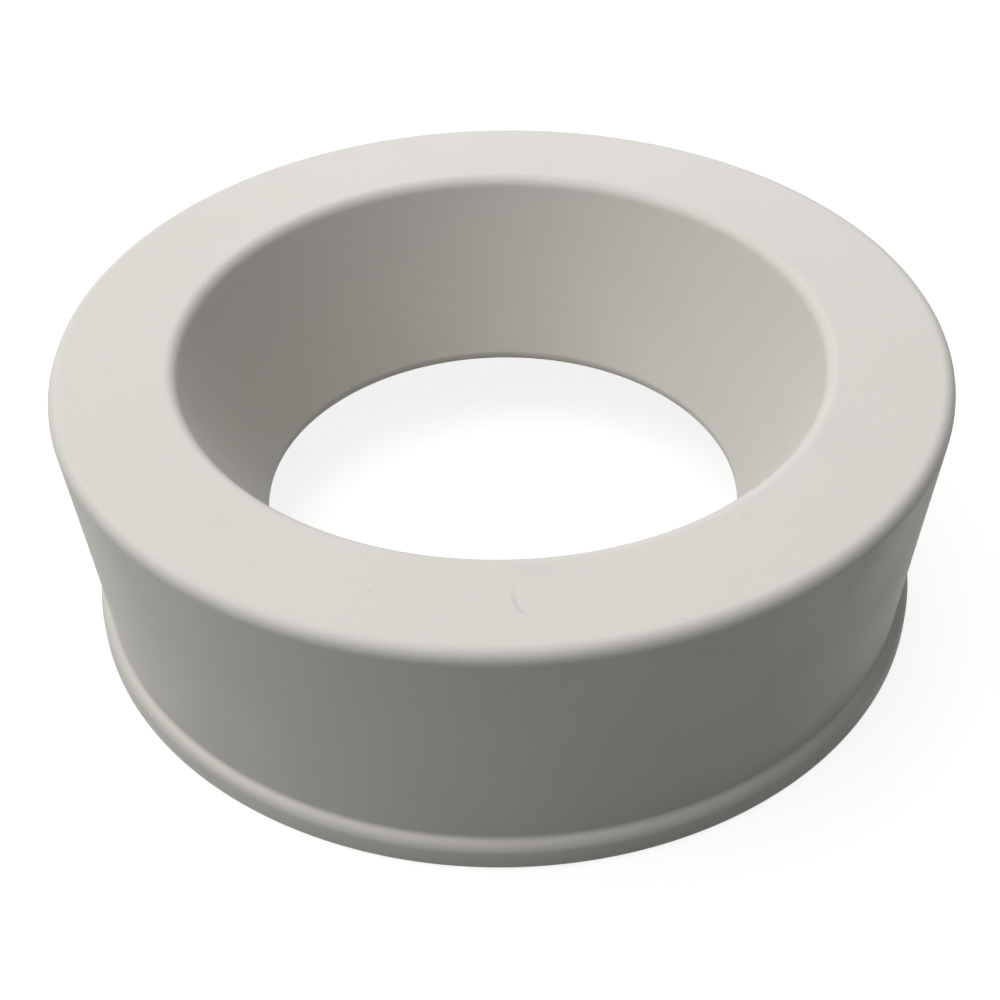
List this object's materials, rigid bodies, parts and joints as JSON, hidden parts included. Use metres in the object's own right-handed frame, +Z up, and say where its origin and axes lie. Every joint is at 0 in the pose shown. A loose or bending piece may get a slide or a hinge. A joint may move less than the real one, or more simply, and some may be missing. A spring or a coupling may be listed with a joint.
{
  "type": "rubber drain cuff",
  "caption": "Moulded rubber ring with a flat top flange, a tapered outer sleeve with a sealing bead and an inner cone that grips a narrower waste pipe.",
  "frame": {"origin": "centre of the foot plane, on the ring's axis", "axes": "+Z up along the ring's axis, from the foot with the bead to the flat flange; the ring looks the same from every side, so X and Y are free"},
  "size_m": [0.118, 0.118, 0.038],
  "materials": {
    "rubber": "matt moulded rubber, pale warm grey"
  },
  "bodies": {
    "root": {"cuff": "rubber"}
  },
  "joints": []
}
